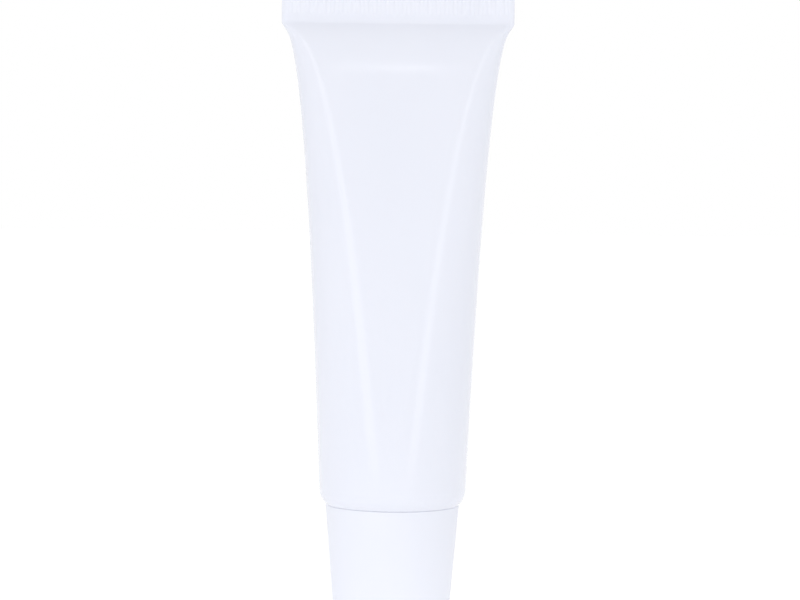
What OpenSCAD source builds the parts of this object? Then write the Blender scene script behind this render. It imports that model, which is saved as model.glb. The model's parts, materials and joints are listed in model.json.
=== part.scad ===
// Squeeze tube for lip balm, standing on the flat end of its screw cap.
// Sizes are in millimetres. The floor is Z = 0, the tube's axis is Z and the sealed tail is wide along X.

/* [Sleeve] */
// Outside diameter of the round end
tube_d = 19; // [18:0.5:25]
// Height from the shoulder up to the seal
sleeve_h = 62; // [45:1:90]
// Wall thickness
wall = 0.5; // [0.35:0.05:0.7]
// Radius of the rounded shoulder corner, which runs in until it is flush with the cap's rim
corner_r = 2.8; // [1.4:0.1:3.4]
// How the belly closes towards the seal: 1 is a straight wedge, less is fuller
closing = 0.46; // [0.4:0.01:0.9]
// Length below the seal over which the wall bends outwards
bend_h = 0.7; // [0.4:0.1:2]

/* [Seal] */
// Height of the flat sealed tail
seal_h = 5; // [4:0.25:8]
// Thickness of the sealed tail
seal_t = 0.9; // [0.7:0.1:1.2]
// How far hot pressing spreads the tail at each side
seal_spread = 0.3; // [0:0.1:0.6]
// Height of the plain strip below the ribs
plain_h = 1; // [0.5:0.25:2]
// Number of pressed ribs across the tail
rib_count = 28; // [22:1:34]
// Depth of the pressed ribs
rib_depth = 0.2; // [0.1:0.02:0.4]

/* [Head] */
// Length of the neck below the shoulder
neck_h = 6.4; // [5:0.2:7]
// Thickness of the shoulder plate
plate_t = 1.3; // [1:0.1:1.6]
// Wall thickness of neck and nozzle
head_wall = 1.2; // [0.9:0.1:1.5]
// Diameter of the nozzle where it leaves the neck
nozzle_d = 8.4; // [7:0.2:9]
// Diameter of the nozzle near its tip
tip_d = 6.2; // [5.4:0.2:6.6]
// Diameter of the outlet
outlet_d = 2; // [1.2:0.2:2.6]

/* [Cap] */
// Height of the cap
cap_h = 14.5; // [13:0.5:20]
// How far the open rim stands inside the sleeve's round end
cap_inset = 0.85; // [0.5:0.05:1.2]
// Thickness of the open rim
rim_wall = 1.65; // [1.4:0.05:2]
// Slope of the tapered side, sideways per unit of height
cap_slope = 0.084; // [0.04:0.002:0.1]
// Thickness of the closed end
cap_end_t = 1.4; // [1.2:0.1:2]
// Radius of the edge that the cap stands on
cap_edge_r = 0.7; // [0.3:0.1:1]
// Thickness of the tapered side below the thread
cap_wall = 1.3; // [1.1:0.1:1.5]
// Height of the thread's ridge on neck and cap
thread_ridge = 0.55; // [0.4:0.05:0.6]
// Thickness of the sealing disc
liner_t = 1; // [0.6:0.1:1.4]

/* [Fits] */
// Gap between the cap's rim and the shoulder
rim_gap = 0.06; // [0.04:0.02:0.3]
// Gap between a ridge and the wall that it runs along
thread_gap = 0.2; // [0.15:0.05:0.3]
// Gap between pieces that are joined or filled
snug = 0.06; // [0.04:0.01:0.1]
// Gap around the loose sealing disc
liner_gap = 0.2; // [0.1:0.05:0.4]

/* [Balm] */
// Empty height left above the balm, below the seal
head_space = 9; // [4:1:16]

/* [Hidden] */
tube_r = tube_d / 2;
seal_b = seal_t / 2;
shoulder_z = cap_h + rim_gap;
corner_end = acos(1 - cap_inset / corner_r);
corner_h = corner_r * sin(corner_end);
round_z = shoulder_z + corner_h;
seal_z = shoulder_z + sleeve_h;
top_z = seal_z + seal_h;
loft_h = seal_z - round_z;

// The curl: the sleeve's lower edge, turned in flat above the cap's rim
cap_rim_r = tube_r - cap_inset;
curl_lap = 1.35;
curl_r = cap_rim_r - curl_lap;
sleeve_in_r = tube_r - wall;
bend_in_r = corner_r - wall;
bend_in_end = asin((corner_h - wall) / bend_in_r);

// Heights over which the ribs fade into the plain strip and the tail's spread fades into the belly
rib_run = 0.3;
spread_run = 1.1;

// Points around the sleeve: two for each rib on each face
sleeve_n = 4 * rib_count;
balm_n = 48;
outer_rows = 17;
inner_rows = 12;
corner_steps = 6;
rim_steps = 3;

// Head and cap radii
cap_bore_r = cap_rim_r - rim_wall;
neck_r = cap_bore_r - thread_gap - thread_ridge;
neck_in_r = neck_r - head_wall;
neck_end_z = shoulder_z - neck_h;
liner_top_z = cap_end_t + liner_t;
nozzle_r = nozzle_d / 2;
tip_r = tip_d / 2;
tip_round = 1.2;
outlet_r = outlet_d / 2;
plate_z = shoulder_z + wall + snug;
plate_top_z = plate_z + plate_t;

// The flange's thin lip, which lies against the inside of the sleeve
lip_t = 0.4;
lip_h = 0.3;
lip_room = 0.05;
flange_r = sleeve_in_r - snug - lip_room;
flange_bend_r = bend_in_r - snug - lip_room;
flange_bend_end = asin(min((round_z - plate_z) / flange_bend_r, 1));
lip_z = max(plate_top_z, round_z) + lip_h;

// Heights inside the head: the funnel above the neck, the throat above the nozzle, the channel, the outlet
funnel = 0.6;
throat_z = neck_end_z + head_wall + 1;
nozzle_in_z = neck_end_z + head_wall - 0.2;
channel_z = liner_top_z + 2.2;
outlet_z = liner_top_z + 1.3;
balm_end_z = liner_top_z + 0.5;

// Edges of neck and cap, the step below the cap's bore and the hollow under the cap
chamfer = 0.3;
rim_edge = 0.15;
bore_past = 0.4;
bore_step = 0.4;
thread_end_z = neck_end_z - bore_past;
base_recess_r = 4.4;
base_recess = 0.4;

$fn = 96;

// Half depth of the belly at a share u of the way from the seal (0) down to the round end (1).
// The wall bends out over bend_h, then follows the closing curve.
function belly_b(u) =
    let (k = bend_h / loft_h)
    seal_b + (tube_r - seal_b) * u * pow((1 + k) / (u + k), 1 - closing);

// Half length of the flat face at half depth b: the way round the sleeve never changes
function flat_f(b) = PI / 2 * (tube_r - b);

// Extra half width near the seal from the hot pressing
function spread(u) = seal_spread * exp(-pow(u * loft_h / spread_run, 2));

// Share of the way down at station j: the stations crowd towards the seal, where the wall bends most
function station(j, rows) = pow(j / rows, 2);

// Point at a share q of the way round a section of two half circles of radius b joined by flats
function section(q, b, f) =
    let (s = q * (2 * PI * b + 4 * f), arc = PI * b / 2, deg = 180 / PI / b)
    s < arc ? [f + b * cos(s * deg), b * sin(s * deg)]
    : s < arc + 2 * f ? [f + arc - s, b]
    : s < 3 * arc + 2 * f
        ? [-f + b * cos((s - 2 * f) * deg), b * sin((s - 2 * f) * deg)]
    : s < 3 * arc + 4 * f ? [s - 3 * arc - 3 * f, -b]
    : [f + b * cos((s - 4 * f) * deg), b * sin((s - 4 * f) * deg)];

// A ring of n points at height z; wave moves every other point to and fro for the pressed ribs
function ring(n, z, b, f, wave = 0) =
    [for (i = [0:n - 1])
        let (p = section(i / n, b, f))
        [p[0], p[1] + wave * (i % 2 - 0.5), z]];

function belly_ring(n, u, inset = 0) =
    let (b = belly_b(u))
    ring(n, seal_z - u * loft_h, b - inset, flat_f(b) + spread(u));

function round_ring(n, r, z) = ring(n, z, r, 0);

// Rings of the rounded corner from angle a0 to a1: r at the side, z at the top of the bend
function corner_rings(n, r, bend, z, steps, a0, a1) =
    [for (i = [0:steps])
        let (a = a0 + (a1 - a0) * i / steps)
        round_ring(n, r - bend + bend * cos(a), z - bend * sin(a))];

// A closed skin over stacked rings: sides, then a strip across the first and the last ring
module skin(rings) {
    n = len(rings[0]);
    rows = len(rings);
    last = (rows - 1) * n;
    sides = [for (j = [0:rows - 2], i = [0:n - 1])
        let (a = j * n + i, b = j * n + (i + 1) % n)
        each [[a, b + n, a + n], [a, b, b + n]]];
    first_end = [for (i = [0:n / 2 - 1])
        let (a = i, b = i + 1, c = n - i - 1, d = (n - i) % n)
        each [if (b != c) [a, c, b], if (a != d) [a, d, c]]];
    last_end = [for (f = first_end) [f[2] + last, f[1] + last, f[0] + last]];
    polyhedron(points = [for (r = rings) each r],
        faces = concat(sides, first_end, last_end), convexity = 6);
}

// The squeeze sleeve: outside from the ribbed tail down to the curl, then the inside back up to the seal
module tube_sleeve() {
    n = sleeve_n;
    tail_f = flat_f(seal_b) + spread(0);
    tail = [
        ring(n, top_z, seal_b, tail_f, rib_depth),
        ring(n, seal_z + plain_h + rib_run, seal_b, tail_f, rib_depth),
        ring(n, seal_z + plain_h, seal_b, tail_f)];
    outside = [for (j = [0:outer_rows - 1]) belly_ring(n, station(j, outer_rows))];
    corner = corner_rings(n, tube_r, corner_r, round_z, corner_steps, 0, corner_end);
    curl = [
        round_ring(n, curl_r, shoulder_z),
        round_ring(n, curl_r, shoulder_z + wall)];
    corner_in = corner_rings(n, sleeve_in_r, bend_in_r, round_z, rim_steps, bend_in_end, 0);
    inside = [for (j = [inner_rows - 1:-1:1]) belly_ring(n, station(j, inner_rows), wall)];
    color([0.93, 0.94, 0.98]) skin(concat(tail, outside, corner, curl, corner_in, inside));
}

// The moulded head: shoulder plate, neck and nozzle turned as one piece around the outlet
module tube_head() {
    bend = [for (i = [0:corner_steps])
        let (a = flange_bend_end * (corner_steps - i) / corner_steps)
        [flange_r - flange_bend_r * (1 - cos(a)), round_z - flange_bend_r * sin(a)]];
    tip = [for (i = [0:corner_steps])
        let (a = 90 * i / corner_steps)
        [tip_r - tip_round + tip_round * sin(a), liner_top_z + tip_round * (1 - cos(a))]];
    outside = concat(
        [[outlet_r, liner_top_z]],
        tip,
        [[nozzle_r, neck_end_z],
            [neck_r - chamfer, neck_end_z],
            [neck_r, neck_end_z + chamfer],
            [neck_r, shoulder_z],
            [curl_r - snug, shoulder_z],
            [curl_r - snug, plate_z]],
        bend);
    inside = [
        [flange_r, lip_z],
        [flange_r - lip_t, lip_z],
        [neck_in_r + funnel, plate_top_z],
        [neck_in_r, plate_top_z - funnel],
        [neck_in_r, throat_z],
        [nozzle_r - head_wall, nozzle_in_z],
        [tip_r - head_wall, channel_z],
        [outlet_r, outlet_z]];
    color([0.95, 0.95, 0.97]) rotate_extrude() polygon(concat(outside, inside));
}

// The balm: one solid that fills nozzle, neck and sleeve with a snug gap
module balm_fill() {
    n = balm_n;
    top_u = head_space / loft_h;
    first_z = lip_z + snug;
    first_u = min((seal_z - first_z) / loft_h, 1);
    between = [for (j = [1:inner_rows])
        let (u = station(j, inner_rows))
        if (u > top_u && u < first_u) u];
    belly = [for (u = concat([top_u], between, [first_u])) belly_ring(n, u, wall + snug)];
    core = [
        round_ring(n, flange_r - lip_t - snug, first_z),
        round_ring(n, neck_in_r + funnel - snug, plate_top_z + snug),
        round_ring(n, neck_in_r - snug, plate_top_z - funnel),
        round_ring(n, neck_in_r - snug, throat_z + snug),
        round_ring(n, nozzle_r - head_wall - snug, nozzle_in_z + snug),
        round_ring(n, tip_r - head_wall - snug, channel_z + snug),
        round_ring(n, outlet_r - snug, outlet_z + snug),
        round_ring(n, outlet_r - snug, balm_end_z)];
    color([0.97, 0.94, 0.84]) skin(concat(belly, core));
}

// The tapered screw cap: a hollow cone with a bore for the neck's thread
module cap() {
    low_r = cap_rim_r - cap_slope * cap_h;
    function side_r(z) = low_r + cap_slope * z;
    edge = [for (i = [0:corner_steps])
        let (a = 90 * i / corner_steps)
        [side_r(cap_edge_r) - cap_edge_r + cap_edge_r * sin(a), cap_edge_r * (1 - cos(a))]];
    rim = [for (i = [0:rim_steps])
        let (a = 90 * i / rim_steps)
        [side_r(cap_h) - rim_edge + rim_edge * cos(a), cap_h - rim_edge + rim_edge * sin(a)]];
    outside = concat(
        [[0, base_recess], [base_recess_r - base_recess, base_recess], [base_recess_r, 0]],
        edge, rim);
    hollow = [
        [cap_bore_r + chamfer, cap_h],
        [cap_bore_r, cap_h - chamfer],
        [cap_bore_r, thread_end_z],
        [min(cap_bore_r, side_r(thread_end_z) - cap_wall), thread_end_z - bore_step],
        [side_r(cap_end_t) - cap_wall, cap_end_t],
        [0, cap_end_t]];
    color([0.95, 0.96, 1]) rotate_extrude() polygon(concat(outside, hollow));
}

// The soft sealing disc that lies loose in the cap's end
module cap_liner() {
    r = cap_rim_r - cap_slope * (cap_h - cap_end_t) - cap_wall - liner_gap;
    color([0.9, 0.9, 0.88]) translate([0, 0, cap_end_t]) cylinder(h = liner_t, r = r);
}

tube_sleeve();
tube_head();
balm_fill();
cap();
cap_liner();
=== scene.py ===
import json
import math

import bpy
from mathutils import Matrix, Vector

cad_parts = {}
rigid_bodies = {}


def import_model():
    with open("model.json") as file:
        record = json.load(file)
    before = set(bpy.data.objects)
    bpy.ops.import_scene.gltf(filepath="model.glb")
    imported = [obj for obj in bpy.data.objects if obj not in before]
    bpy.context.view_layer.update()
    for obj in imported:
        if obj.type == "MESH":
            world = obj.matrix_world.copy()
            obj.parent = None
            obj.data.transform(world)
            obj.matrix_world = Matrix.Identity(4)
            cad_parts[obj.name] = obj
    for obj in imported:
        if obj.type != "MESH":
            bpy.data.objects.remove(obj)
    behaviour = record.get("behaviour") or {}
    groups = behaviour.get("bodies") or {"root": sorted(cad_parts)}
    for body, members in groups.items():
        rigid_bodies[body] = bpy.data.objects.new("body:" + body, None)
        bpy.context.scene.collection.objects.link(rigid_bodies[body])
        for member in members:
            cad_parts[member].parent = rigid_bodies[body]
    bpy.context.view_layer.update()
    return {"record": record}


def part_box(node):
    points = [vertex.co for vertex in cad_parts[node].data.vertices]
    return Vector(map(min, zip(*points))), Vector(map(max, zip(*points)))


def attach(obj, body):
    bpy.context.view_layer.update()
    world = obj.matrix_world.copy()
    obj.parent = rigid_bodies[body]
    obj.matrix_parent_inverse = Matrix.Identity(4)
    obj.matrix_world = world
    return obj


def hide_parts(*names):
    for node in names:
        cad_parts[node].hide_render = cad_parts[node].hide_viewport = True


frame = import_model()

MM = 0.001

# Sizes that the frame gives
cap_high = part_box("cap")[1]
sleeve_low, sleeve_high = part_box("tube_sleeve")
head_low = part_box("tube_head")[0]
liner_low, liner_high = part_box("cap_liner")
cap_h = cap_high[2]
rim_r = cap_high[0]
tube_r = sleeve_high[1]
shoulder_z = sleeve_low[2]
top_z = sleeve_high[2]
tip_z = head_low[2]
liner_r = liner_high[0]
floor_of_cap = liner_low[2]
liner_top = liner_high[2]
travel = {j["name"]: j for j in frame["record"]["behaviour"]["joints"]}
lead = travel["tube_lift"]["range_m"][1] / (travel["tube_turn"]["range_deg"][1] / 360)

# Sleeve and seal: the solid's sizes, with a softer bend, lower ribs and a lip that sags to the cap
wall = 0.5 * MM
corner_r = 2.8 * MM
closing = 0.455
bend_h = 0.8 * MM
seal_h = 5.0 * MM
seal_b = 0.45 * MM
seal_spread = 0.3 * MM
spread_run = 1.1 * MM
plain_h = 1.0 * MM
rib_count = 28
rib_depth = 0.12 * MM
rib_fade = 0.35 * MM
tail_edge = 0.15 * MM
tail_thinning = 0.35
curl_w = 1.35 * MM
lip_w = 0.3 * MM
lip_sag = 0.04 * MM
corner_end = math.acos(1 - (tube_r - rim_r) / corner_r)
corner_h = corner_r * math.sin(corner_end)
round_z = shoulder_z + corner_h
seal_z = top_z - seal_h
loft_h = seal_z - round_z
curl_r = rim_r - curl_w

# Head, cap and thread
cap_slope = 0.084
cap_wall = 1.3 * MM
cap_edge_r = 0.7 * MM
rim_w = 1.65 * MM
bore_r = rim_r - rim_w
ridge_h = 0.55 * MM
thread_gap = 0.2 * MM
thread_starts = 2
neck_r = bore_r - thread_gap - ridge_h
neck_h = 6.4 * MM
neck_end = shoulder_z - neck_h
head_wall = 1.2 * MM
nozzle_r = 4.2 * MM
tip_r = 3.1 * MM
tip_round = 1.2 * MM
outlet_r = 1.0 * MM

# Mesh fineness
points_per_rib = 8
girth_points = 2 * rib_count * points_per_rib
outer_rows = 44
inner_rows = 24
turned_points = 128
helix_steps = 96


def clear_selection():
    if bpy.context.mode != "OBJECT":
        bpy.ops.object.mode_set(mode="OBJECT")
    bpy.ops.object.select_all(action="DESELECT")


def name_piece(name):
    piece = bpy.context.active_object
    piece.name = name
    piece.data.name = name
    return piece


def pick_ring(mesh, z):
    """Selects the edges of the ring at height z, in edit mode."""
    bpy.ops.object.mode_set(mode="OBJECT")
    for v in mesh.vertices:
        v.select = abs(v.co.z - z) < 1e-6
    for e in mesh.edges:
        e.select = all(mesh.vertices[i].select for i in e.vertices)
    for f in mesh.polygons:
        f.select = False
    bpy.ops.object.mode_set(mode="EDIT")
    bpy.ops.mesh.select_mode(type="EDGE")


def walk_ring(outline, start):
    """Extrudes the selected ring from one outline point (radius, height) to the next."""
    r, z = start
    for next_r, next_z in outline:
        bpy.ops.mesh.extrude_region_move(TRANSFORM_OT_translate={"value": (0, 0, next_z - z)})
        bpy.ops.transform.resize(
            value=(next_r / r, next_r / r, 1), center_override=(0, 0, next_z))
        r, z = next_r, next_z


def close_piece(piece, angle):
    """Merges doubles, turns the faces outwards and shades the piece smooth up to an angle."""
    bpy.ops.mesh.select_all(action="SELECT")
    bpy.ops.mesh.remove_doubles(threshold=1e-7)
    bpy.ops.mesh.normals_make_consistent(inside=False)
    bpy.ops.object.mode_set(mode="OBJECT")
    bpy.ops.object.transform_apply(location=True, rotation=True, scale=True)
    bpy.ops.object.shade_smooth_by_angle(angle=math.radians(angle))
    clear_selection()
    return piece


def arc(centre_r, centre_z, radius, start, end, steps):
    """Outline points of a round: angles in degrees, 0 is outwards and 90 is up."""
    return [
        (centre_r + radius * math.cos(math.radians(start + (end - start) * i / steps)),
         centre_z + radius * math.sin(math.radians(start + (end - start) * i / steps)))
        for i in range(steps + 1)
    ]


def turned_piece(name, outline, angle=32):
    """A closed turned piece. Each end of the outline is closed by a flat face across the axis."""
    clear_selection()
    first_r, first_z = outline[0]
    bpy.ops.mesh.primitive_circle_add(
        vertices=turned_points, radius=first_r, fill_type="NGON", location=(0, 0, 0))
    piece = name_piece(name)
    bpy.ops.object.mode_set(mode="EDIT")
    bpy.ops.mesh.select_all(action="SELECT")
    bpy.ops.transform.translate(value=(0, 0, first_z))
    pick_ring(piece.data, first_z)
    walk_ring(outline[1:], outline[0])
    bpy.ops.mesh.edge_face_add()
    return close_piece(piece, angle)


# The sleeve

def clamped(x):
    return min(max(x, 0.0), 1.0)


def belly_half_depth(u):
    """Half depth from the seal (0) to the round end (1): the wall leaves the seal in a soft bend."""
    k = bend_h / loft_h
    return seal_b + (tube_r - seal_b) * u ** closing * u * (1 + k) / (u + k)


def flattened(share, b, flat):
    """Point at a share of the way round two half circles of radius b joined by flats."""
    quarter = math.pi * b / 2
    s = share * (4 * quarter + 4 * flat)
    if s < quarter:
        return flat + b * math.cos(s / b), b * math.sin(s / b)
    if s < quarter + 2 * flat:
        return flat + quarter - s, b
    if s < 3 * quarter + 2 * flat:
        return -flat + b * math.cos((s - 2 * flat) / b), b * math.sin((s - 2 * flat) / b)
    if s < 3 * quarter + 4 * flat:
        return s - 3 * quarter - 3 * flat, -b
    return flat + b * math.cos((s - 4 * flat) / b), b * math.sin((s - 4 * flat) / b)


def rib_wave(share):
    """To and fro across the rounded ribs, between -1 and 1."""
    return -math.cos(2 * math.pi * share * 2 * rib_count)


def press_flat(mesh, inset):
    """Presses the round blank shut: the way round stays the same, but for the spread at the seal."""
    for v in mesh.vertices:
        share = (math.atan2(v.co.y, v.co.x) / (2 * math.pi)) % 1.0
        u = clamped((seal_z - v.co.z) / loft_h)
        b = belly_half_depth(u)
        flat = math.pi / 2 * (tube_r - b) + seal_spread * math.exp(-(u * loft_h / spread_run) ** 2)
        x, y = flattened(share, b - inset, flat)
        ribbed = clamped((v.co.z - seal_z - plain_h) / rib_fade)
        edge = clamped((v.co.z - top_z + tail_edge) / tail_edge)
        y *= 1 - tail_thinning * edge * edge
        y += 0.5 * rib_depth * ribbed * rib_wave(share)
        v.co.x, v.co.y = x, y


def sleeve_blank(name, radius, rows):
    """A round open tube on the rows' heights."""
    clear_selection()
    low, high = rows[0], rows[-1]
    bpy.ops.mesh.primitive_cylinder_add(
        vertices=girth_points, radius=radius, depth=high - low, end_fill_type="NOTHING",
        location=(0, 0, 0))
    piece = name_piece(name)
    bpy.ops.object.mode_set(mode="EDIT")
    bpy.ops.mesh.select_all(action="SELECT")
    bpy.ops.transform.translate(value=(0, 0, (low + high) / 2))
    for z in rows[1:-1]:
        bpy.ops.mesh.select_all(action="SELECT")
        bpy.ops.mesh.bisect(plane_co=(0, 0, z), plane_no=(0, 0, 1))
    return piece


def make_sleeve():
    belly_heights = [seal_z - loft_h * (j / outer_rows) ** 2 for j in range(outer_rows, -1, -1)]
    rib_start = seal_z + plain_h
    tail_heights = [seal_z + plain_h * 0.5]
    tail_heights += [rib_start + rise for rise in (0, 0.12 * MM, 0.24 * MM, rib_fade)]
    tail_heights += [seal_z + 0.6 * seal_h, top_z - tail_edge, top_z - 0.07 * MM, top_z]
    outside = sleeve_blank("sleeve", tube_r, belly_heights + tail_heights)
    bpy.ops.object.mode_set(mode="OBJECT")
    press_flat(outside.data, 0.0)

    # Round the shoulder corner, in under the shoulder and back up inside
    pick_ring(outside.data, round_z)
    corner = arc(tube_r - corner_r, round_z, corner_r, 0, -math.degrees(corner_end), 9)[1:]
    corner[-1] = (rim_r, shoulder_z - lip_sag)
    curl = [(rim_r - lip_w, shoulder_z), (curl_r, shoulder_z), (curl_r, shoulder_z + wall)]
    walk_ring(corner + curl, (tube_r, round_z))
    bend_r = corner_r - wall
    bend_end = math.degrees(math.asin((corner_h - wall) / bend_r))
    inner_corner = arc(tube_r - corner_r, round_z, bend_r, -bend_end, 0, 5)
    walk_ring(inner_corner, (curl_r, shoulder_z + wall))
    bpy.ops.object.mode_set(mode="OBJECT")

    inside_heights = [seal_z - loft_h * (j / inner_rows) ** 2 for j in range(inner_rows, 1, -1)]
    inside = sleeve_blank("sleeve_inside", tube_r - wall, inside_heights)
    bpy.ops.object.mode_set(mode="OBJECT")
    press_flat(inside.data, wall)

    bpy.ops.object.select_all(action="DESELECT")
    inside.select_set(True)
    outside.select_set(True)
    bpy.context.view_layer.objects.active = outside
    bpy.ops.object.join()
    bpy.ops.object.mode_set(mode="EDIT")
    bpy.ops.mesh.select_all(action="SELECT")
    bpy.ops.mesh.remove_doubles(threshold=2e-6)
    pick_ring(outside.data, top_z)
    bpy.ops.mesh.edge_face_add()
    pick_ring(outside.data, inside_heights[-1])
    bpy.ops.mesh.edge_face_add()
    return close_piece(outside, 40)


# The turned pieces

def make_head():
    side_gap, seat_gap = 0.11 * MM, 0.06 * MM
    plate_h, flange_rise, flange_w = 1.3 * MM, 0.3 * MM, 0.4 * MM
    nozzle_root, neck_edge, inner_slope = 0.5 * MM, 0.3 * MM, 0.6 * MM
    nozzle_floor, outlet_h = 2.2 * MM, 1.3 * MM
    flange_r = tube_r - wall - side_gap
    plate_z = shoulder_z + wall + seat_gap
    plate_top = plate_z + plate_h
    flange_z = max(plate_top, round_z) + flange_rise
    bend_r = corner_r - wall - side_gap
    bend_end = math.degrees(math.asin((round_z - plate_z) / bend_r))
    collar_r = curl_r - seat_gap
    neck_in = neck_r - head_wall
    neck_floor = neck_end + head_wall
    outline = [(outlet_r, tip_z)]
    outline += arc(tip_r - tip_round, tip_z + tip_round, tip_round, -90, 0, 8)
    outline += arc(nozzle_r + nozzle_root, neck_end - nozzle_root, nozzle_root, 180, 90, 5)
    outline += arc(neck_r - neck_edge, neck_end + neck_edge, neck_edge, -90, 0, 4)
    outline += [(neck_r, shoulder_z), (collar_r, shoulder_z), (collar_r, plate_z)]
    outline += arc(flange_r - bend_r, round_z, bend_r, -bend_end, 0, 6)
    outline += [
        (flange_r, flange_z), (flange_r - flange_w, flange_z),
        (neck_in + inner_slope, plate_top), (neck_in, plate_top - inner_slope),
        (neck_in, neck_floor + 1.0 * MM), (nozzle_r - head_wall, neck_floor - 0.2 * MM),
        (tip_r - head_wall, tip_z + nozzle_floor), (outlet_r, tip_z + outlet_h)]
    clear_selection()
    bpy.ops.mesh.primitive_circle_add(vertices=turned_points, radius=outlet_r, fill_type="NOTHING")
    piece = name_piece("nozzle_head")
    bpy.ops.object.mode_set(mode="EDIT")
    bpy.ops.mesh.select_all(action="SELECT")
    bpy.ops.transform.translate(value=(0, 0, tip_z))
    walk_ring(outline[1:] + [outline[0]], outline[0])
    return close_piece(piece, 32)


def make_cap():
    lean = 4.8  # degrees, the slope of the side
    low_r = rim_r - cap_slope * cap_h

    def side(z):
        return low_r + cap_slope * z

    recess_r, recess, recess_edge = 4.4 * MM, 0.4 * MM, 0.08 * MM
    rim_edge, rim_bevel = 0.15 * MM, 0.3 * MM
    bore_step, inner_round = 0.4 * MM, 0.4 * MM
    bore_end = neck_end - bore_step
    outline = [
        (recess_r - recess, recess), (recess_r - recess_edge, recess_edge), (recess_r + recess_edge, 0)]
    outline += arc(side(cap_edge_r) - cap_edge_r, cap_edge_r, cap_edge_r, -90, -lean, 8)
    outline += arc(side(cap_h - rim_edge) - rim_edge, cap_h - rim_edge, rim_edge, -lean, 90, 6)
    outline += [
        (bore_r + rim_bevel, cap_h), (bore_r, cap_h - rim_bevel), (bore_r, bore_end),
        (side(bore_end) - cap_wall, bore_end - bore_step)]
    outline += arc(
        side(floor_of_cap) - cap_wall - inner_round, floor_of_cap + inner_round, inner_round, 0, -90, 4)
    return turned_piece("screw_cap", outline)


def make_liner():
    """The sealing disc, with the dent that the nozzle's tip leaves."""
    edge, dent = 0.15 * MM, 0.03 * MM
    outline = [(liner_r * 0.5, floor_of_cap)]
    outline += arc(liner_r - edge, floor_of_cap + edge, edge, -90, 0, 4)
    outline += arc(liner_r - edge, liner_top - edge, edge, 0, 90, 4)
    outline += [(tip_r * 0.9, liner_top), (tip_r * 0.62, liner_top - dent), (outlet_r, liner_top)]
    return turned_piece("sealing_disc", outline)


def thread_ridge(name, root_r, crest_r, low, high, phase_z, start_no):
    """One start of the thread: a rounded ridge on a helix that runs out at both ends."""
    base, crest, sunk = 0.48 * MM, 0.2 * MM, 0.12 * MM
    edge_in, edge_down, edge_up = 0.1 * MM, 0.05 * MM, 0.08 * MM
    run_out = math.radians(40)
    thin_end = 0.05
    start = 2 * math.pi * (low - phase_z) / lead + math.pi * start_no
    turns = (high - low) / lead
    out = 1 if crest_r > root_r else -1
    foot_r = root_r - out * sunk
    edge_r = crest_r - out * edge_in
    section = [
        (foot_r, -base), (root_r, -base), (edge_r, -crest - edge_down), (crest_r, -crest + edge_up),
        (crest_r, crest - edge_up), (edge_r, crest + edge_down), (root_r, base), (foot_r, base)]
    clear_selection()
    bpy.ops.mesh.primitive_circle_add(vertices=len(section), radius=base, fill_type="NOTHING")
    piece = name_piece(name)
    for v, (r, z) in zip(piece.data.vertices, section):
        v.co = (r * math.cos(start), r * math.sin(start), low + z)
    helix = piece.modifiers.new("helix", "SCREW")
    helix.axis = "Z"
    helix.angle = 2 * math.pi * turns
    helix.screw_offset = high - low
    helix.steps = helix.render_steps = round(helix_steps * turns)
    bpy.ops.object.modifier_apply(modifier=helix.name)
    for v in piece.data.vertices:
        turn = (math.atan2(v.co.y, v.co.x) - start) % (2 * math.pi)
        turn += 2 * math.pi * round((v.co.z - low) / lead - turn / (2 * math.pi))
        left = max(min(turn, 2 * math.pi * turns - turn) / run_out, 0.0)
        full = max(math.sin(min(left, 1.0) * math.pi / 2), thin_end)
        r = math.hypot(v.co.x, v.co.y)
        keep = (foot_r + (r - foot_r) * full) / r
        v.co.x *= keep
        v.co.y *= keep
    bpy.ops.object.mode_set(mode="EDIT")
    bpy.ops.mesh.select_all(action="SELECT")
    bpy.ops.mesh.fill_holes(sides=2 * len(section))
    return close_piece(piece, 50)


def join_pieces(name, pieces):
    clear_selection()
    for piece in pieces:
        piece.select_set(True)
    bpy.context.view_layer.objects.active = pieces[0]
    bpy.ops.object.join()
    joined = name_piece(name)
    clear_selection()
    return joined


def make_neck_thread():
    low, high = neck_end + 0.9 * MM, shoulder_z - 0.9 * MM
    return join_pieces("neck_thread", [
        thread_ridge("neck_ridge", neck_r, neck_r + ridge_h, low, high, neck_end, n)
        for n in range(thread_starts)])


def make_cap_thread():
    low, high = neck_end + 0.5 * MM, cap_h - 0.9 * MM
    return join_pieces("cap_thread", [
        thread_ridge("cap_ridge", bore_r, bore_r - ridge_h, low, high, neck_end + lead / 4, n)
        for n in range(thread_starts)])


# Finishes

def new_finish(name):
    material = bpy.data.materials.new(name)
    material.use_nodes = True
    nodes = material.node_tree.nodes
    return material, nodes, material.node_tree.links, nodes["Principled BSDF"]


def noise_on(nodes, links, stretch, scale, detail):
    """Noise over the piece's own Object coordinates, in features per metre, stretched along an axis."""
    place = nodes.new("ShaderNodeTexCoord")
    mapping = nodes.new("ShaderNodeMapping")
    mapping.inputs["Scale"].default_value = stretch
    noise = nodes.new("ShaderNodeTexNoise")
    noise.inputs["Scale"].default_value = scale
    noise.inputs["Detail"].default_value = detail
    links.new(place.outputs["Object"], mapping.inputs["Vector"])
    links.new(mapping.outputs["Vector"], noise.inputs["Vector"])
    return noise.outputs["Fac"]


def tint(nodes, links, fac, low_colour, high_colour):
    ramp = nodes.new("ShaderNodeValToRGB")
    ramp.color_ramp.elements[0].position = 0.3
    ramp.color_ramp.elements[0].color = (*low_colour, 1)
    ramp.color_ramp.elements[1].position = 0.7
    ramp.color_ramp.elements[1].color = (*high_colour, 1)
    links.new(fac, ramp.inputs["Fac"])
    return ramp.outputs["Color"]


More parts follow.
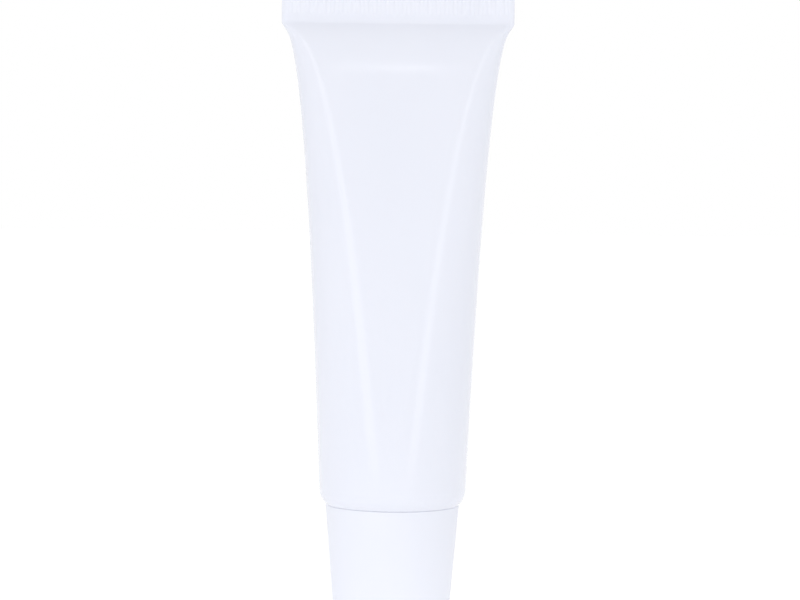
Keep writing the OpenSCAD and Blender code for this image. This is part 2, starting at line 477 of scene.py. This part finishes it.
def graded(nodes, links, value, start, end, first, last):
    """Runs from first to last while the value runs from start to end."""
    grade = nodes.new("ShaderNodeMapRange")
    grade.inputs["From Min"].default_value = start
    grade.inputs["From Max"].default_value = end
    grade.inputs["To Min"].default_value = first
    grade.inputs["To Max"].default_value = last
    links.new(value, grade.inputs["Value"])
    return grade.outputs["Result"]


def bump_of(nodes, links, fac, depth, under=None):
    bump = nodes.new("ShaderNodeBump")
    bump.inputs["Strength"].default_value = 1.0
    bump.inputs["Distance"].default_value = depth
    links.new(fac, bump.inputs["Height"])
    if under is not None:
        links.new(under, bump.inputs["Normal"])
    return bump.outputs["Normal"]


def let_light_in(surface, weight):
    """Lets a little light into the white plastics, with hardly any tint."""
    surface.inputs["Subsurface Weight"].default_value = weight
    surface.inputs["Subsurface Radius"].default_value = (0.9, 0.95, 1.0)
    surface.inputs["Subsurface Scale"].default_value = 0.5 * MM


def sleeve_plastic():
    """Soft extruded plastic: bluish white, semi-gloss, with faint lines along the draw and slow waves."""
    material, nodes, links, surface = new_finish("sleeve_plastic")
    slow = noise_on(nodes, links, (1, 1, 0.5), 90, 2)
    grain = noise_on(nodes, links, (1, 1, 1), 2600, 3)
    draw = noise_on(nodes, links, (1, 1, 0.02), 1500, 2)
    white = tint(nodes, links, slow, (0.825, 0.847, 0.938), (0.841, 0.861, 0.951))
    links.new(white, surface.inputs["Base Color"])
    links.new(graded(nodes, links, grain, 0.3, 0.7, 0.11, 0.15), surface.inputs["Roughness"])
    fine = bump_of(nodes, links, grain, 0.0003 * MM)
    lined = bump_of(nodes, links, draw, 0.0005 * MM, fine)
    links.new(bump_of(nodes, links, slow, 0.03 * MM, lined), surface.inputs["Normal"])
    surface.inputs["IOR"].default_value = 1.5
    let_light_in(surface, 0.1)
    return material


def moulded_plastic(name, low_colour, high_colour, rough):
    """Moulded plastic of the cap and the head: smooth, with a soft shine and a fine tool texture."""
    material, nodes, links, surface = new_finish(name)
    slow = noise_on(nodes, links, (1, 1, 1), 120, 2)
    grain = noise_on(nodes, links, (1, 1, 1), 4200, 3)
    links.new(tint(nodes, links, slow, low_colour, high_colour), surface.inputs["Base Color"])
    roughness = graded(nodes, links, grain, 0.3, 0.7, rough - 0.03, rough + 0.03)
    links.new(roughness, surface.inputs["Roughness"])
    links.new(bump_of(nodes, links, grain, 0.0003 * MM), surface.inputs["Normal"])
    surface.inputs["IOR"].default_value = 1.49
    let_light_in(surface, 0.08)
    return material


def liner_foam():
    """Pale foam with small cells."""
    material, nodes, links, surface = new_finish("liner_foam")
    cells = nodes.new("ShaderNodeTexVoronoi")
    cells.inputs["Scale"].default_value = 3800
    place = nodes.new("ShaderNodeTexCoord")
    links.new(place.outputs["Object"], cells.inputs["Vector"])
    grey = tint(nodes, links, cells.outputs["Distance"], (0.80, 0.80, 0.77), (0.72, 0.72, 0.69))
    links.new(grey, surface.inputs["Base Color"])
    links.new(bump_of(nodes, links, cells.outputs["Distance"], 0.05 * MM), surface.inputs["Normal"])
    surface.inputs["Roughness"].default_value = 0.85
    return material


def balm_wax():
    """Cream wax with a slightly uneven surface."""
    material, nodes, links, surface = new_finish("balm_wax")
    slow = noise_on(nodes, links, (1, 1, 1), 300, 3)
    cream = tint(nodes, links, slow, (0.86, 0.78, 0.58), (0.92, 0.85, 0.66))
    links.new(cream, surface.inputs["Base Color"])
    links.new(bump_of(nodes, links, slow, 0.05 * MM), surface.inputs["Normal"])
    surface.inputs["Roughness"].default_value = 0.4
    surface.inputs["Subsurface Weight"].default_value = 0.3
    surface.inputs["Subsurface Scale"].default_value = 2.0 * MM
    return material


def dress(piece, material):
    piece.data.materials.clear()
    piece.data.materials.append(material)


# Stage

def seen_directly(nodes, links):
    """1 for rays from the camera and in gloss or glass, 0 for the rays that light the object."""
    path = nodes.new("ShaderNodeLightPath")
    total = path.outputs["Is Camera Ray"]
    for name in ("Is Glossy Ray", "Is Transmission Ray"):
        either = nodes.new("ShaderNodeMath")
        either.operation = "MAXIMUM"
        links.new(total, either.inputs[0])
        links.new(path.outputs[name], either.inputs[1])
        total = either.outputs[0]
    return total


def glowing_white(nodes, links, grey):
    """A diffuse surface with a glow added to it. Gives the sum and the glow's node."""
    diffuse = nodes.new("ShaderNodeBsdfDiffuse")
    diffuse.inputs["Color"].default_value = (grey, grey, grey, 1)
    glow = nodes.new("ShaderNodeEmission")
    both = nodes.new("ShaderNodeAddShader")
    links.new(diffuse.outputs[0], both.inputs[0])
    links.new(glow.outputs[0], both.inputs[1])
    return both.outputs[0], glow


def make_floor():
    """A table that shows white and keeps its shadow. As a light on the tube, it glows most near the tube."""
    near, far = 30 * MM, 60 * MM
    near_glow, far_glow = 0.2, 0.05
    clear_selection()
    bpy.ops.mesh.primitive_plane_add(size=4, location=(0, 0, 0))
    floor = name_piece("floor")
    material = bpy.data.materials.new("floor_white")
    material.use_nodes = True
    nodes, links = material.node_tree.nodes, material.node_tree.links
    nodes.clear()
    lighting, bounce = glowing_white(nodes, links, 0.9)
    place = nodes.new("ShaderNodeTexCoord")
    reach = nodes.new("ShaderNodeVectorMath")
    reach.operation = "LENGTH"
    links.new(place.outputs["Object"], reach.inputs[0])
    fading = graded(nodes, links, reach.outputs["Value"], near, far, near_glow, far_glow)
    links.new(fading, bounce.inputs["Strength"])
    shown, glow = glowing_white(nodes, links, 0.55)
    glow.inputs["Strength"].default_value = 0.61
    mix = nodes.new("ShaderNodeMixShader")
    out = nodes.new("ShaderNodeOutputMaterial")
    links.new(seen_directly(nodes, links), mix.inputs[0])
    links.new(lighting, mix.inputs[1])
    links.new(shown, mix.inputs[2])
    links.new(mix.outputs[0], out.inputs["Surface"])
    dress(floor, material)
    clear_selection()


def light_world(horizon, zenith):
    """White for the camera; the light on the object falls off from the horizon to the zenith."""
    world = bpy.data.worlds.new("studio_white")
    bpy.context.scene.world = world
    world.use_nodes = True
    nodes, links = world.node_tree.nodes, world.node_tree.links
    nodes.clear()
    place = nodes.new("ShaderNodeTexCoord")
    split = nodes.new("ShaderNodeSeparateXYZ")
    fill = nodes.new("ShaderNodeBackground")
    fill.inputs["Color"].default_value = (1, 1, 1, 1)
    white = nodes.new("ShaderNodeBackground")
    white.inputs["Color"].default_value = (1, 1, 1, 1)
    white.inputs["Strength"].default_value = 1.0
    mix = nodes.new("ShaderNodeMixShader")
    out = nodes.new("ShaderNodeOutputWorld")
    links.new(place.outputs["Generated"], split.inputs[0])
    links.new(graded(nodes, links, split.outputs["Z"], 0, 1, horizon, zenith), fill.inputs["Strength"])
    links.new(seen_directly(nodes, links), mix.inputs[0])
    links.new(fill.outputs[0], mix.inputs[1])
    links.new(white.outputs[0], mix.inputs[2])
    links.new(mix.outputs[0], out.inputs["Surface"])


def softbox(name, spot, aim, width, height, glow, in_gloss=True):
    """A soft lamp at a spot that faces a point. Its glow is the brightness of its face, 1 for white."""
    lamp = bpy.data.lights.new(name, "AREA")
    lamp.shape = "RECTANGLE"
    lamp.size, lamp.size_y = width, height
    lamp.energy = glow * math.pi * width * height
    holder = bpy.data.objects.new(name, lamp)
    turn = (Vector(aim) - Vector(spot)).to_track_quat("-Z", "Y")
    holder.matrix_world = Matrix.LocRotScale(Vector(spot), turn, None)
    holder.visible_glossy = in_gloss
    bpy.context.scene.collection.objects.link(holder)


def standing_softbox(name, azimuth, distance, low, high, width, glow, in_gloss=True):
    """An upright lamp round the tube; azimuth 0 is the camera's side, positive to the right."""
    a = math.radians(azimuth)
    middle = (low + high) / 2
    spot = (distance * math.sin(a), -distance * math.cos(a), middle)
    softbox(name, spot, (0, 0, middle), width, high - low, glow, in_gloss)


def aim_camera():
    distance = 350 * MM
    height = 58.25 * MM
    aim = Vector((0.68 * MM, 0, 40.96 * MM))
    roll = math.radians(0.7)
    spot = Vector((0, -distance, height))
    turn = (aim - spot).to_track_quat("-Z", "Y").to_matrix() @ Matrix.Rotation(roll, 3, "Z")
    lens = bpy.data.cameras.new("camera")
    lens.lens = 122
    lens.sensor_width = 36
    lens.clip_start = 0.01
    camera = bpy.data.objects.new("camera", lens)
    camera.matrix_world = Matrix.LocRotScale(spot, turn.to_quaternion(), None)
    bpy.context.scene.collection.objects.link(camera)
    bpy.context.scene.camera = camera


# Putting it together

sleeve = make_sleeve()
head = make_head()
neck_thread = make_neck_thread()
cap = make_cap()
cap_thread = make_cap_thread()
liner = make_liner()

head_white = moulded_plastic("head_plastic", (0.855, 0.87, 0.93), (0.87, 0.885, 0.94), 0.32)
cap_white = moulded_plastic("cap_plastic", (0.833, 0.854, 0.940), (0.845, 0.864, 0.948), 0.42)
for piece, material, slot, body in (
        (sleeve, sleeve_plastic(), "sleeve_plastic", "tube"),
        (head, head_white, "head_plastic", "tube"),
        (neck_thread, head_white, "head_plastic", "tube"),
        (cap, cap_white, "cap_plastic", "cap"),
        (cap_thread, cap_white, "cap_plastic", "cap"),
        (liner, liner_foam(), "liner_foam", "liner")):
    dress(piece, material)
    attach(piece, body)
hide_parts("tube_sleeve")
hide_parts("tube_head")
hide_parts("cap")
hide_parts("cap_liner")

# The balm keeps its own solid and only gets its finish
for node in bpy.data.objects:
    if node.type == "MESH" and node.name == "balm_fill":
        dress(node, balm_wax())

# The strips draw the two long streaks and the top lamp the level highlight; the other lamps only fill
make_floor()
light_world(1.06, 0.6)
standing_softbox("left_strip", -26, 0.43, 0.012, 0.5, 0.13, 0.95)
standing_softbox("right_strip", 26, 0.43, 0.012, 0.5, 0.10, 1.05)
standing_softbox("left_fill", -64, 0.34, 0.0, 0.22, 0.2, 0.36, in_gloss=False)
standing_softbox("right_fill", 74, 0.34, 0.0, 0.22, 0.2, 0.45, in_gloss=False)
softbox("low_lamp", (-0.05, -0.09, 0.008), (0, 0, 0.016), 0.14, 0.014, 1.2, in_gloss=False)
softbox("top_lamp", (0, -0.380, 0.317), (0, -0.003, 0.0715), 0.022, 0.02, 3.4)
aim_camera()
bpy.context.scene.view_settings.view_transform = "Standard"
